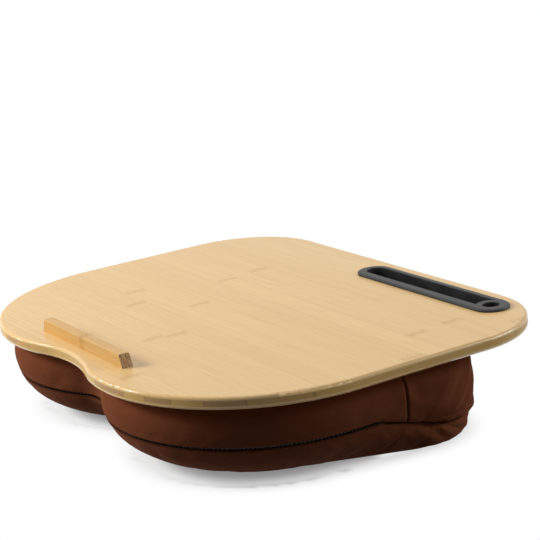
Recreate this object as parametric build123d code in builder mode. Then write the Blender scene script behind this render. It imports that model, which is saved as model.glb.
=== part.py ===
import os
from math import acos, atan, atan2, copysign, cos, degrees, floor, hypot, radians, sin, sqrt

from build123d import *

# Lap tray with cushion, in millimetres. X runs across the lap, Y away from the lap, Z up.
# The origin is the middle of the board's footprint, on the surface that the cushion rests on.

# Board
board_width = 446.0
board_depth = 342.0
lobe_radius = 140.0
notch_root = 131.5
board_corner_radius = 80.0
top_ply = 3.0
core_ply = 4.0
bottom_ply = 3.0
top_edge_round = 2.7
bottom_edge_bevel = 1.5

# Laptop stop and the screws that hold it from below
stop_length = 145.0
stop_depth = 9.0
stop_height = 10.5
stop_end_slant = 4.5
stop_round = 1.2
stop_setback = 11.0
stop_screw_spacing = 96.0
screw_shank = 3.4
screw_head = 7.0
screw_bite = 7.0
screw_drive = 3.2
screw_drive_width = 0.9
screw_drive_depth = 1.2
screw_fit = 0.05

# Device insert
rim_length = 190.0
rim_width = 31.0
rim_height = 2.5
rim_round = 1.4
rim_end_margin = 45.0
rim_back_margin = 14.0
slot_width = 17.5
slot_shift = 1.6
slot_depth = 22.0
slot_left_land = 7.0
pen_hole = 14.0
pen_depth = 28.0
pen_ring = 25.0
insert_wall = 1.8
insert_fit = 0.3
mouth_chamfer = 0.6
clip_width = 10.0
clip_reach = 1.3
clip_height = 4.0
clip_gap = 0.3
clip_spacing = 46.0
clips_per_side = 3

# Cushion cover
cushion_height = 72.0
waist_height = 50.0
waist_inset = 10.5
base_draw = 50.0
base_power = 2.6
rear_base_draw = 8.0
rear_base_power = 2.0
shoulder_draw = 14.0
shoulder_power = 3.0
crease_root = 30.0
cushion_corner = 75.0
cushion_back_overhang = 57.5
back_draw_share = 0.6
cloth = 1.2
layer_gap = 0.4
seam_gap = 0.1
rear_seam_height = 28.0
band_joint_run = 47.0
base_levels = 6
shoulder_levels = 3
inner_base_levels = 2
inner_shoulder_levels = 1
level_power = 1.2

# Zipper round the front of the cover
zip_height = 37.0
zip_window = 4.0
open_window = 9.0
open_window_length = 56.0
zip_right_run = 25.0
zip_left_run = 45.0
open_ramp = 8.0
tape = 0.8
tape_behind = 0.7
tape_tuck = 3.0
tape_overlap = 5.0
tooth_pitch = 3.2
tooth_length = 1.9
tooth_root = 1.9
tooth_tip = 1.3
tooth_thickness = 1.8
tooth_mesh = 0.5
tooth_seat = 0.1
stop_block = 3.0

# Zipper slider and pull
slider_length = 9.0
slider_wall = 1.1
slider_lip = 0.9
slider_round = 1.6
slider_clearance = 0.35
slider_stop_gap = 1.0
nose_thickness = 0.8
nose_length = 2.4
nose_gap = 0.3
bridge_length = 5.6
bridge_thickness = 1.6
bridge_bar = 1.1
pull_pin = 1.3
pull_fit = 0.3
pull_arm = 1.4
pull_length = 21.0
pull_thickness = 1.2
pull_window = 4.2
pull_eye = 2.4

# Inner bag, its filling, and the hook-and-loop patches
bag_cloth = 0.8
groove_margin = 0.8
hook_pad = 1.2
loop_pad = 1.2
patch_length = 60.0
patch_width = 25.0
patch_column = 120.0
patch_front = 81.0
patch_rear = 226.0

overrun = 5.0

# Heights that everything shares
board_bottom = cushion_height
board_thickness = top_ply + core_ply + bottom_ply
board_top = board_bottom + board_thickness
cover_top = cushion_height - hook_pad - loop_pad

# Plan of the two lap lobes, which the board and the cushion have in common
half_width = board_width / 2
half_depth = board_depth / 2
lobe_x = half_width - lobe_radius
lobe_y = lobe_radius - half_depth
notch_top = lobe_y - sqrt((lobe_radius + notch_root) ** 2 - lobe_x**2) + notch_root
cushion_back = half_depth - cushion_back_overhang

# Plan of the device insert
rim_x = half_width - rim_end_margin - rim_length / 2
rim_y = half_depth - rim_back_margin - rim_width / 2
pen_x = rim_x + rim_length / 2 - rim_width / 2
slot_y = rim_y + slot_shift
slot_left = rim_x - rim_length / 2 + slot_left_land
slot_length = pen_x + slot_width / 2 - slot_left
slot_x = slot_left + slot_length / 2
rim_top = board_top + rim_height
slot_floor = rim_top - slot_depth
pen_floor = rim_top - pen_depth

# Plan of the laptop stop and its screws
stop_y = notch_top + stop_setback + stop_depth / 2
screw_places = [(-stop_screw_spacing / 2, stop_y), (stop_screw_spacing / 2, stop_y)]
head_depth = (screw_head - screw_shank) / 2

os.makedirs("parts", exist_ok=True)


def bean_outline(root, inset, corner, corner_x, back):
    """Draw half the plan from a notch, a lobe, a corner and a back, and mirror it."""
    lobe = lobe_radius - inset
    notch_y = lobe_y - sqrt((lobe_radius + root) ** 2 - lobe_x**2)
    lean = degrees(atan2(lobe_y - notch_y, lobe_x))
    across, along = corner_x - lobe_x, back - corner - lobe_y
    tilt = degrees(atan2(along, across) - acos((lobe - corner) / hypot(across, along)))
    with BuildSketch() as outline:
        with BuildLine():
            CenterArc((0, notch_y), root + inset, lean, 90 - lean)
            lobe_arc = CenterArc((lobe_x, lobe_y), lobe, lean - 180, 180 - lean + tilt)
            corner_arc = CenterArc((corner_x, back - corner), corner, tilt, 90 - tilt)
            Line(lobe_arc @ 1, corner_arc @ 0)
            Line(corner_arc @ 1, (0, back))
            mirror(about=Plane.YZ)
        make_face()
    return outline.sketch


def cushion_outline(draw, rear, layer):
    """Draw the cushion's plan, drawn in by its shape in front and at the rear and by so many mm of layers."""
    corner = cushion_corner - rear - layer
    back = cushion_back - back_draw_share * rear - layer
    return bean_outline(crease_root, draw + layer, corner, half_width - cushion_corner, back)


def rear_draw(height, draw):
    """Give the draw of the back corners: below the rear seam the cover stands nearly upright there."""
    if height >= rear_seam_height:
        return draw
    fall = 1 - height / rear_seam_height
    return min(draw, cover_inset(rear_seam_height) + rear_base_draw * fall**rear_base_power)


def cover_inset(height):
    """Give the cover's inset from the board's edge at a height between base and waist."""
    return waist_inset + base_draw * ((waist_height - height) / waist_height) ** base_power


def cushion_levels(below, above):
    """List height, inset and lean of the cover's face: so many steps below and above its waist."""
    levels = []
    for step in range(below + 1):
        drop = 1 - (step / below) ** level_power
        slope = base_draw * base_power * drop ** (base_power - 1) / waist_height
        height = waist_height * (1 - drop)
        levels.append((height, cover_inset(height), atan(slope)))
    rise = cover_top - waist_height
    for step in range(1, above + 1):
        lift = 1 - (1 - step / above) ** level_power
        slope = shoulder_draw * shoulder_power * lift ** (shoulder_power - 1) / rise
        draw = waist_inset + shoulder_draw * lift**shoulder_power
        levels.append((waist_height + rise * lift, draw, -atan(slope)))
    return levels


def cushion_block(depth, levels):
    """Loft the whole cushion through its levels, so many mm under the cover's outer face."""
    with BuildPart() as block:
        for number, (height, draw, lean) in enumerate(levels):
            if number in (0, len(levels) - 1):
                level = height + copysign(depth, lean)
                layer = depth * (1 - sin(abs(lean))) / cos(lean)
            else:
                level = height + depth * sin(lean)
                layer = depth * cos(lean)
            with BuildSketch(Plane.XY.offset(level)):
                add(cushion_outline(draw, rear_draw(height, draw), layer))
        loft(ruled=True)
    return block.part


def front_zone(low, high, right_y, left_y):
    """Make a block over the plan in front of one Y on the right and another on the left."""
    with BuildPart() as zone:
        with BuildSketch(Plane.XY.offset(low)):
            for side, edge_y in ((1, right_y), (-1, left_y)):
                with Locations((side * board_width / 2, (edge_y - board_depth) / 2)):
                    Rectangle(board_width, edge_y + board_depth)
        extrude(amount=high - low)
    return zone.part


def ring(levels, thickness):
    """Loft a closed strip round the cushion through (height, inset) levels."""
    with BuildPart() as outer:
        for height, inset in levels:
            with BuildSketch(Plane.XY.offset(height)):
                add(cushion_outline(waist_inset, waist_inset, inset - waist_inset))
        loft(ruled=True)
    with BuildPart() as inner:
        for height, inset in levels:
            with BuildSketch(Plane.XY.offset(height)):
                add(cushion_outline(waist_inset, waist_inset, inset - waist_inset + thickness))
        loft(ruled=True)
    with BuildPart() as strip:
        add(outer.part)
        add(inner.part, mode=Mode.SUBTRACT)
    return strip.part


# Board: two face plies on a core ply, cut through for the insert's walls and the screws
board_face = bean_outline(
    notch_root, 0, board_corner_radius, half_width - board_corner_radius, half_depth
)
with BuildPart() as insert_space:
    with BuildSketch(Plane.XY.offset(board_bottom - overrun)):
        with Locations((slot_x, slot_y)):
            wall_room = 2 * (insert_wall + insert_fit)
            SlotOverall(slot_length + wall_room, slot_width + wall_room)
    extrude(amount=board_thickness + 2 * overrun)

with BuildPart() as screw_space:
    with BuildSketch(Plane.XY.offset(board_bottom - overrun)):
        with Locations(*screw_places):
            Circle(screw_shank / 2 + screw_fit)
    extrude(amount=overrun + board_thickness + screw_bite + screw_fit)
    with Locations(*[Location((x, y, board_bottom)) for x, y in screw_places]):
        Cone(
            screw_head / 2 + screw_fit,
            screw_shank / 2 + screw_fit,
            head_depth,
            align=(Align.CENTER, Align.CENTER, Align.MIN),
        )

core_bottom = board_bottom + bottom_ply
core_top = core_bottom + core_ply
with BuildPart() as board_bottom_ply:
    with BuildSketch(Plane.XY.offset(board_bottom)):
        add(board_face)
    extrude(amount=bottom_ply)
    chamfer(board_bottom_ply.faces().sort_by(Axis.Z)[0].edges(), length=bottom_edge_bevel)
    add([insert_space.part, screw_space.part], mode=Mode.SUBTRACT)
board_bottom_ply.part.label = "board_bottom_ply"
export_step(board_bottom_ply.part, "parts/board_bottom_ply.step")

with BuildPart() as board_core_ply:
    with BuildSketch(Plane.XY.offset(core_bottom)):
        add(board_face)
    extrude(amount=core_ply)
    add([insert_space.part, screw_space.part], mode=Mode.SUBTRACT)
board_core_ply.part.label = "board_core_ply"
export_step(board_core_ply.part, "parts/board_core_ply.step")

with BuildPart() as board_top_ply:
    with BuildSketch(Plane.XY.offset(core_top)):
        add(board_face)
    extrude(amount=top_ply)
    fillet(board_top_ply.faces().sort_by(Axis.Z)[-1].edges(), radius=top_edge_round)
    add([insert_space.part, screw_space.part], mode=Mode.SUBTRACT)
board_top_ply.part.label = "board_top_ply"
export_step(board_top_ply.part, "parts/board_top_ply.step")

# Laptop stop: a bar with slanted ends and its long top edges eased
with BuildPart() as laptop_stop:
    with BuildSketch(Plane.XZ.offset(-stop_y)):
        with BuildLine():
            Polyline(
                (-stop_length / 2, board_top),
                (stop_length / 2, board_top),
                (stop_length / 2 - stop_end_slant, board_top + stop_height),
                (stop_end_slant - stop_length / 2, board_top + stop_height),
                close=True,
            )
        make_face()
    extrude(amount=stop_depth / 2, both=True)
    long_edges = laptop_stop.faces().sort_by(Axis.Z)[-1].edges().filter_by(Axis.X)
    fillet(long_edges, radius=stop_round)
    add(screw_space.part, mode=Mode.SUBTRACT)
laptop_stop.part.label = "laptop_stop"
export_step(laptop_stop.part, "parts/laptop_stop.step")

# Countersunk screws, each turned up through the board into the stop
with BuildPart() as stop_screws:
    for x, y in screw_places:
        with BuildSketch(Plane.XZ.offset(-y)):
            with BuildLine():
                Polyline(
                    (x, board_bottom),
                    (x + screw_head / 2, board_bottom),
                    (x + screw_shank / 2, board_bottom + head_depth),
                    (x + screw_shank / 2, board_top + screw_bite - screw_shank),
                    (x, board_top + screw_bite),
                    close=True,
                )
            make_face()
        revolve(axis=Axis((x, y, 0), (0, 0, 1)))
    with BuildSketch(Plane.XY.offset(board_bottom)):
        with Locations(*screw_places):
            Rectangle(screw_drive, screw_drive_width)
            Rectangle(screw_drive_width, screw_drive)
    extrude(amount=screw_drive_depth, mode=Mode.SUBTRACT)
stop_screws.part.label = "stop_screws"
export_step(stop_screws.part, "parts/stop_screws.step")

# Device insert: one moulding with a raised rim, a slot for a phone or tablet and a pen well
with BuildPart() as device_insert:
    with BuildSketch(Plane.XY.offset(board_top)):
        with Locations((rim_x, rim_y)):
            SlotOverall(rim_length, rim_width)
    extrude(amount=rim_height)
    fillet(device_insert.faces().sort_by(Axis.Z)[-1].edges(), radius=rim_round)
    with BuildSketch(Plane.XY.offset(slot_floor - insert_wall)):
        with Locations((slot_x, slot_y)):
            SlotOverall(slot_length + 2 * insert_wall, slot_width + 2 * insert_wall)
    extrude(amount=board_top - slot_floor + insert_wall)
    with BuildSketch(Plane.XY.offset(pen_floor - insert_wall)):
        with Locations((pen_x, rim_y)):
            Circle(pen_hole / 2 + insert_wall)
    extrude(amount=board_top - pen_floor + insert_wall)
    with BuildSketch(Plane.XY.offset(slot_floor)):
        with Locations((slot_x, slot_y)):
            SlotOverall(slot_length, slot_width)
        with Locations((pen_x, rim_y)):
            Circle(pen_ring / 2, mode=Mode.SUBTRACT)
    extrude(amount=slot_depth, mode=Mode.SUBTRACT)
    with BuildSketch(Plane.XY.offset(pen_floor)):
        with Locations((pen_x, rim_y)):
            Circle(pen_hole / 2)
    extrude(amount=pen_depth, mode=Mode.SUBTRACT)
    mouths = device_insert.faces().sort_by(Axis.Z)[-1].inner_wires()
    chamfer([edge for wire in mouths for edge in wire.edges()], length=mouth_chamfer)
    wall_reach = slot_width / 2 + insert_wall
    clip_top = board_bottom - clip_gap
    for number in range(clips_per_side):
        clip_x = slot_x + (number - (clips_per_side - 1) / 2) * clip_spacing
        with BuildSketch(Plane.YZ.offset(clip_x - clip_width / 2)):
            for side in (-1, 1):
                with BuildLine():
                    Polyline(
                        (slot_y + side * (wall_reach - insert_wall / 2), clip_top),
                        (slot_y + side * (wall_reach + clip_reach), clip_top),
                        (slot_y + side * wall_reach, clip_top - clip_height),
                        (slot_y + side * (wall_reach - insert_wall / 2), clip_top - clip_height),
                        close=True,
                    )
                make_face()
        extrude(amount=clip_width)
device_insert.part.label = "device_insert"
export_step(device_insert.part, "parts/device_insert.step")

# Cushion cover: a hollow shell that the seams and the zipper's window divide into panels
lip_low = zip_height - zip_window / 2
lip_high = zip_height + zip_window / 2
open_low = zip_height - open_window / 2
open_high = zip_height + open_window / 2
zip_right_y = lobe_y + zip_right_run
zip_left_y = lobe_y + zip_left_run
band_joint_y = lobe_y + band_joint_run
top_panel_inset = shoulder_draw + cloth
cover_levels = cushion_levels(base_levels, shoulder_levels)
cover_block = cushion_block(0, cover_levels)
cover_space = cushion_block(cloth, cover_levels)
zip_zone = front_zone(rear_seam_height, lip_low, zip_right_y, zip_left_y)
window_zone = front_zone(rear_seam_height, lip_high, zip_right_y, zip_left_y)
joint_zone = front_zone(0, board_bottom, band_joint_y, band_joint_y)

with BuildPart() as slider_window:
    with BuildSketch(Plane.XY.offset(open_low)):
        with Locations((-half_width, zip_left_y - open_window_length / 2)):
            Rectangle(half_width, open_window_length)
    extrude(amount=open_window)

with BuildPart() as above_seam:
    with BuildSketch(Plane.XY.offset(rear_seam_height)):
        Rectangle(2 * board_width, 2 * board_depth)
    extrude(amount=board_bottom)
    add(zip_zone, mode=Mode.SUBTRACT)

with BuildPart() as cover_bottom_panel:
    add(cover_block)
    add(cover_space, mode=Mode.SUBTRACT)
    add([above_seam.part, slider_window.part], mode=Mode.SUBTRACT)
cover_bottom_panel.part.label = "cover_bottom_panel"
export_step(cover_bottom_panel.part, "parts/cover_bottom_panel.step")

with BuildPart() as cover_top_panel:
    with BuildSketch(Plane.XY.offset(cover_top - cloth)):
        add(cushion_outline(waist_inset, waist_inset, top_panel_inset))
    extrude(amount=cloth)
cover_top_panel.part.label = "cover_top_panel"
export_step(cover_top_panel.part, "parts/cover_top_panel.step")

with BuildPart() as band:
    add(cover_block)
    add(cover_space, mode=Mode.SUBTRACT)
    add(above_seam.part, mode=Mode.INTERSECT)
    add([window_zone, slider_window.part], mode=Mode.SUBTRACT)
    with BuildSketch(Plane.XY.offset(cover_top - cloth)):
        add(cushion_outline(waist_inset, waist_inset, top_panel_inset - seam_gap))
    extrude(amount=2 * cloth, mode=Mode.SUBTRACT)

with BuildPart() as cover_front_band:
    add(band.part)
    add(joint_zone, mode=Mode.INTERSECT)
cover_front_band.part.label = "cover_front_band"
export_step(cover_front_band.part, "parts/cover_front_band.step")

with BuildPart() as cover_rear_band:
    add(band.part)
    add(joint_zone, mode=Mode.SUBTRACT)
cover_rear_band.part.label = "cover_rear_band"
export_step(cover_rear_band.part, "parts/cover_rear_band.step")

# Zipper tapes: two strips behind the cover, their near edges parted where the slider runs
chain_inset = cover_inset(open_low) + cloth + tape_behind + tape / 2
tape_face = chain_inset - tape / 2
tape_edge = tooth_length - tooth_mesh / 2 + tooth_seat
part_shift = nose_thickness / 2 + nose_gap + tooth_mesh / 2
tuck_high = open_high + tape_tuck
tuck_low = open_low - tape_tuck
tape_zone = front_zone(
    0, board_bottom, zip_right_y + tape_overlap, zip_left_y + tape_overlap
)


def open_gap(side):
    """Shape what comes off one tape's edge, up a ramp and along the left-hand straight."""
    closed = zip_height + side * tape_edge
    parted = closed + side * part_shift
    with BuildPart() as gap:
        with BuildSketch(Plane.YZ.offset(-half_width)):
            with BuildLine():
                Polyline(
                    (lobe_y, zip_height),
                    (lobe_y, closed),
                    (lobe_y + open_ramp, parted),
                    (half_depth, parted),
                    (half_depth, zip_height),
                    close=True,
                )
            make_face()
        extrude(amount=half_width)
    return gap.part


upper_levels = [
    (zip_height + tape_edge, tape_face),
    (open_high, tape_face),
    (tuck_high, cover_inset(tuck_high) + cloth + tape_behind),
]
lower_levels = [
    (tuck_low, cover_inset(tuck_low) + cloth + 2 * tape_behind),
    (open_low, tape_face),
    (zip_height - tape_edge, tape_face),
]

with BuildPart() as zipper_tape_upper:
    add(ring(upper_levels, tape))
    add(tape_zone, mode=Mode.INTERSECT)
    add(open_gap(1), mode=Mode.SUBTRACT)
zipper_tape_upper.part.label = "zipper_tape_upper"
export_step(zipper_tape_upper.part, "parts/zipper_tape_upper.step")

with BuildPart() as zipper_tape_lower:
    add(ring(lower_levels, tape))
    add(tape_zone, mode=Mode.INTERSECT)
    add(open_gap(-1), mode=Mode.SUBTRACT)
zipper_tape_lower.part.label = "zipper_tape_lower"
export_step(zipper_tape_lower.part, "parts/zipper_tape_lower.step")

# Zipper chain: its path runs both ways from the middle of the notch
chain_lobe = lobe_radius - chain_inset
chain_notch = crease_root + chain_inset
notch_y = lobe_y - sqrt((lobe_radius + crease_root) ** 2 - lobe_x**2)
notch_lean = degrees(atan2(lobe_y - notch_y, lobe_x))
notch_run = chain_notch * radians(90 - notch_lean)
curve_run = notch_run + chain_lobe * radians(180 - notch_lean)
chain_side = lobe_x + chain_lobe


def chain_place(along):
    """Find x, y and outward bearing at a signed run along the chain from its middle."""
    run = abs(along)
    if run < notch_run:
        turn = 90 - degrees(run / chain_notch)
        x = chain_notch * cos(radians(turn))
        y = notch_y + chain_notch * sin(radians(turn))
        bearing = turn + 180
    elif run < curve_run:
        bearing = notch_lean - 180 + degrees((run - notch_run) / chain_lobe)
        x = lobe_x + chain_lobe * cos(radians(bearing))
        y = lobe_y + chain_lobe * sin(radians(bearing))
    else:
        x = chain_side
        y = lobe_y + run - curve_run
        bearing = 0
    return (x, y, bearing) if along >= 0 else (-x, y, 180 - bearing)


def parting(along):
    """Give how far each row stands off the chain's middle on the left-hand straight."""
    open_run = -along - curve_run
    return part_shift * min(max(open_run / open_ramp, 0), 1)


def tooth_row(side):
    """Set one row of teeth along its tape: side 1 is the upper row, -1 the lower."""
    root = zip_height + side * (tape_edge - tooth_seat)
    first = -(curve_run + zip_left_run - stop_block - tooth_root)
    last = curve_run + zip_right_run - stop_block - tooth_root
    shift = tooth_pitch / 4 * side
    count = floor((last - first) / tooth_pitch)
    with BuildPart() as tooth:
        with BuildSketch(Plane.YZ):
            with BuildLine():
                Polyline(
                    (-tooth_root / 2, 0),
                    (tooth_root / 2, 0),
                    (tooth_tip / 2, -side * tooth_length),
                    (-tooth_tip / 2, -side * tooth_length),
                    close=True,
                )
            make_face()
        extrude(amount=tooth_thickness / 2, both=True)
    places = []
    for number in range(count):
        along = first + tooth_pitch / 2 + shift + number * tooth_pitch
        x, y, bearing = chain_place(along)
        height = root + side * parting(along)
        places.append(Location((x, y, height), (0, 0, bearing)))
    with BuildPart() as row:
        with Locations(*places):
            add(tooth.part)
    return row.part


zipper_teeth_upper = tooth_row(1)
zipper_teeth_upper.label = "zipper_teeth_upper"
export_step(zipper_teeth_upper, "parts/zipper_teeth_upper.step")

zipper_teeth_lower = tooth_row(-1)
zipper_teeth_lower.label = "zipper_teeth_lower"
export_step(zipper_teeth_lower, "parts/zipper_teeth_lower.step")

# Stops: one across both tapes at the right-hand end, one on each tape at the left-hand end
tape_gap = 2 * (tape_edge - tooth_seat)
with BuildPart() as zipper_bottom_stop:
    with BuildSketch(Plane.YZ.offset(chain_side - tooth_thickness / 2)):
        with Locations((zip_right_y - stop_block / 2, zip_height)):
            Rectangle(stop_block, tape_gap)
    extrude(amount=tooth_thickness)
zipper_bottom_stop.part.label = "zipper_bottom_stop"
export_step(zipper_bottom_stop.part, "parts/zipper_bottom_stop.step")

parted_middle = part_shift - tooth_mesh / 2 + tooth_length / 2
with BuildPart() as zipper_top_stops:
    with BuildSketch(Plane.YZ.offset(-chain_side - tooth_thickness / 2)):
        for side in (-1, 1):
            with Locations((zip_left_y - stop_block / 2, zip_height + side * parted_middle)):
                Rectangle(stop_block, tooth_length)
    extrude(amount=tooth_thickness)
zipper_top_stops.part.label = "zipper_top_stops"
export_step(zipper_top_stops.part, "parts/zipper_top_stops.step")

# Slider: two lipped plates joined by a nose, with a bridge outside for the pull
slider_y = zip_left_y - stop_block - slider_stop_gap - slider_length / 2
plate_gap = tooth_thickness / 2 + slider_clearance
lip_gap = tape / 2 + slider_clearance
teeth_reach = part_shift - tooth_mesh / 2 + tooth_length
slider_reach = teeth_reach + slider_clearance + slider_lip
plate_face = plate_gap + slider_wall
bridge_rise = pull_pin + 2 * pull_fit + bridge_bar
with BuildPart() as zipper_slider:
    for plate_x in (-chain_side - plate_face, -chain_side + plate_gap):
        with BuildSketch(Plane.YZ.offset(plate_x)):
            with Locations((slider_y, zip_height)):
                RectangleRounded(slider_length, 2 * slider_reach, slider_round)
        extrude(amount=slider_wall)
    for lip_x in (-chain_side - plate_gap, -chain_side + lip_gap):
        with BuildSketch(Plane.YZ.offset(lip_x)):
            for side in (-1, 1):
                with Locations((slider_y, zip_height + side * (slider_reach - slider_lip / 2))):
                    Rectangle(slider_length - 2 * slider_round, slider_lip)
        extrude(amount=plate_gap - lip_gap)
    with BuildSketch(Plane.YZ.offset(-chain_side - plate_gap)):
        with Locations((slider_y + slider_length / 2 - nose_length / 2, zip_height)):
            Rectangle(nose_length, nose_thickness)
    extrude(amount=2 * plate_gap)
    with BuildSketch(Plane.XY.offset(zip_height - bridge_thickness / 2)):
        with Locations((-chain_side - plate_face - bridge_rise / 2, slider_y)):
            Rectangle(bridge_rise, bridge_length)
        with Locations((-chain_side - plate_face - (bridge_rise - bridge_bar) / 2, slider_y)):
            Rectangle(
                bridge_rise - bridge_bar, bridge_length - 2 * bridge_bar, mode=Mode.SUBTRACT
            )
    extrude(amount=bridge_thickness)
    outer_bar = zipper_slider.faces().sort_by(Axis.X)[0]
    fillet(outer_bar.edges().filter_by(Axis.Z), radius=bridge_bar / 2)
zipper_slider.part.label = "zipper_slider"
export_step(zipper_slider.part, "parts/zipper_slider.step")

# Pull: a tab with a window round the bridge and a pin through it
pin_x = -chain_side - plate_face - pull_fit - pull_pin / 2
pull_reach = bridge_thickness / 2 + pull_fit + pull_arm
pull_tip = slider_y - pull_length + pull_reach
with BuildPart() as zipper_pull:
    with BuildSketch(Plane.YZ.offset(pin_x - pull_thickness / 2)):
        with BuildLine():
            Polyline(
                (pull_tip, zip_height + pull_reach),
                (slider_y, zip_height + pull_reach),
                (slider_y, zip_height - pull_reach),
                (pull_tip, zip_height - pull_reach),
            )
            RadiusArc(
                (pull_tip, zip_height + pull_reach),
                (pull_tip, zip_height - pull_reach),
                -pull_reach,
            )
        make_face()
        with Locations((slider_y - pull_window / 2, zip_height)):
            Rectangle(pull_window, 2 * (pull_reach - pull_arm), mode=Mode.SUBTRACT)
        with Locations((pull_tip, zip_height)):
            Circle(pull_eye / 2, mode=Mode.SUBTRACT)
    extrude(amount=pull_thickness)
    with BuildSketch(Plane.XY.offset(zip_height - pull_reach)):
        with Locations((pin_x, slider_y)):
            Circle(pull_pin / 2)
    extrude(amount=2 * pull_reach)
zipper_pull.part.label = "zipper_pull"
export_step(zipper_pull.part, "parts/zipper_pull.step")

# Inner bag, drawn in behind the zipper so that the slider runs clear of it, and its filling
bag_depth = cloth + layer_gap
filling_depth = bag_depth + bag_cloth + layer_gap
groove_draw = chain_inset + plate_face + groove_margin - bag_depth
inner_levels = cushion_levels(inner_base_levels, inner_shoulder_levels)
inner_levels.insert(inner_base_levels, (open_high, groove_draw, 0))

with BuildPart() as inner_bag:
    add(cushion_block(bag_depth, inner_levels))
    add(cushion_block(bag_depth + bag_cloth, inner_levels), mode=Mode.SUBTRACT)
inner_bag.part.label = "inner_bag"
export_step(inner_bag.part, "parts/inner_bag.step")

with BuildPart() as cushion_filling:
    add(cushion_block(filling_depth, inner_levels))
cushion_filling.part.label = "cushion_filling"
export_step(cushion_filling.part, "parts/cushion_filling.step")

# Hook-and-loop patches: hooks on the board, loops on the cover's top
patch_places = [
    (side * patch_column, -half_depth + reach)
    for side in (-1, 1)
    for reach in (patch_front, patch_rear)
]
with BuildPart() as hook_patches:
    with BuildSketch(Plane.XY.offset(board_bottom - hook_pad)):
        with Locations(*patch_places):
            Rectangle(patch_length, patch_width)
    extrude(amount=hook_pad)
hook_patches.part.label = "hook_patches"
export_step(hook_patches.part, "parts/hook_patches.step")

with BuildPart() as loop_patches:
    with BuildSketch(Plane.XY.offset(cover_top)):
        with Locations(*patch_places):
            Rectangle(patch_length, patch_width)
    extrude(amount=loop_pad)
loop_patches.part.label = "loop_patches"
export_step(loop_patches.part, "parts/loop_patches.step")
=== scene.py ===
"""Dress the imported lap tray: bamboo plies, a black insert and a stuffed microfibre cushion.

The cushion's cover, the zipper's tapes and the fixing pads are new surfaces. Every other piece is
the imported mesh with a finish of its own. The left-hand half of the tray is at negative x.
"""

import math

import bpy
import numpy as np
from mathutils import Matrix, Vector


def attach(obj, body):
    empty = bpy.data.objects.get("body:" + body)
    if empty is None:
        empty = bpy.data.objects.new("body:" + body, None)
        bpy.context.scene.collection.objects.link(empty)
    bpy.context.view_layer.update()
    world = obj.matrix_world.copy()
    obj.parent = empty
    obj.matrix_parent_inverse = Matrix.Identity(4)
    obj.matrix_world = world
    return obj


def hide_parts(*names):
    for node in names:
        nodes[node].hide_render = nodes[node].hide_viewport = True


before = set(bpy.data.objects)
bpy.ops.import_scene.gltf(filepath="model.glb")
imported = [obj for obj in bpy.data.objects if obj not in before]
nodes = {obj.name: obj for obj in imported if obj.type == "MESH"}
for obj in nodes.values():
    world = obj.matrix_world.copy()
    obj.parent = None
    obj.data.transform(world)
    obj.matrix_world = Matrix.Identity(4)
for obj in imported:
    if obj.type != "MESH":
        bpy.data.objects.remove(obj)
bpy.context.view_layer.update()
MM = 0.001

# Sizes that the source of the solids has too, in mm
LOBE_X, LOBE_Y, LOBE_R = 83.0, -31.0, 140.0
CREASE, CORNER, BACK, BACK_SHARE = 30.0, 75.0, 113.5, 0.6
CREASE_Y = LOBE_Y - math.sqrt((LOBE_R + CREASE) ** 2 - LOBE_X**2)
LEAN = math.atan2(LOBE_Y - CREASE_Y, LOBE_X)
WAIST, TOP, WAIST_INSET = 50.0, 69.6, 10.5
BASE_DRAW, BASE_POWER, SHOULDER_DRAW, SHOULDER_POWER = 50.0, 2.6, 14.0, 3
BOARD_BOTTOM, CORE_BOTTOM, CORE_TOP, BOARD_TOP = 72.0, 75.0, 79.0, 82.0
ZIP_Z, ZIP_RIGHT, ZIP_LEFT, BAND_JOINT = 37.0, -6.0, 14.0, 16.0
CHAIN_INSET, TAPE, TAPE_EDGE, TAPE_FLAT, TAPE_TOP, TAPE_PAST = 16.06, 0.8, 1.75, 4.5, 7.5, 5.0
PARTED, PART_RAMP = 0.95, 8.0
REAR_SEAM, REAR_DRAW = 28.0, 8.0
BAR_HALF, BAR_SLANT = 72.5, 0.4286
PAD_HALF_X, PAD_HALF_Y, PAD_JOINT = 30.0, 12.5, 70.8
PADS_X, PADS_Y = (-120.0, 120.0), (-90.0, 55.0)

# Widths of the bamboo strips and the spacing of their knuckles, in mm
FACE_STRIP, CORE_STRIP, KNUCKLES = 19.0, 21.0, 740.0


class Val:
    """A value in a finish's node tree; arithmetic on it adds Math nodes."""

    def __init__(self, finish, socket):
        self.finish = finish
        self.socket = socket

    def math(self, operation, *values, clamp=False):
        settings = {"operation": operation, "use_clamp": clamp}
        return self.finish.node("ShaderNodeMath", settings, dict(enumerate(values)))

    def __add__(self, other):
        return self.math("ADD", self, other)

    def __sub__(self, other):
        return self.math("SUBTRACT", self, other)

    def __rsub__(self, other):
        return self.math("SUBTRACT", other, self)

    def __mul__(self, other):
        return self.math("MULTIPLY", self, other)

    def __truediv__(self, other):
        return self.math("DIVIDE", self, other)

    def floor(self):
        return self.math("FLOOR", self)

    def fract(self):
        return self.math("FRACT", self)

    def abs(self):
        return self.math("ABSOLUTE", self)

    def clip(self):
        """Hold to 0 to 1."""
        return self.math("ADD", self, 0.0, clamp=True)

    def smooth(self, low, high, start=0.0, end=1.0):
        """Rise smoothly from start at low to end at high."""
        inputs = {"Value": self, "From Min": low, "From Max": high, "To Min": start, "To Max": end}
        return self.finish.node("ShaderNodeMapRange", {"interpolation_type": "SMOOTHSTEP"}, inputs)


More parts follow.
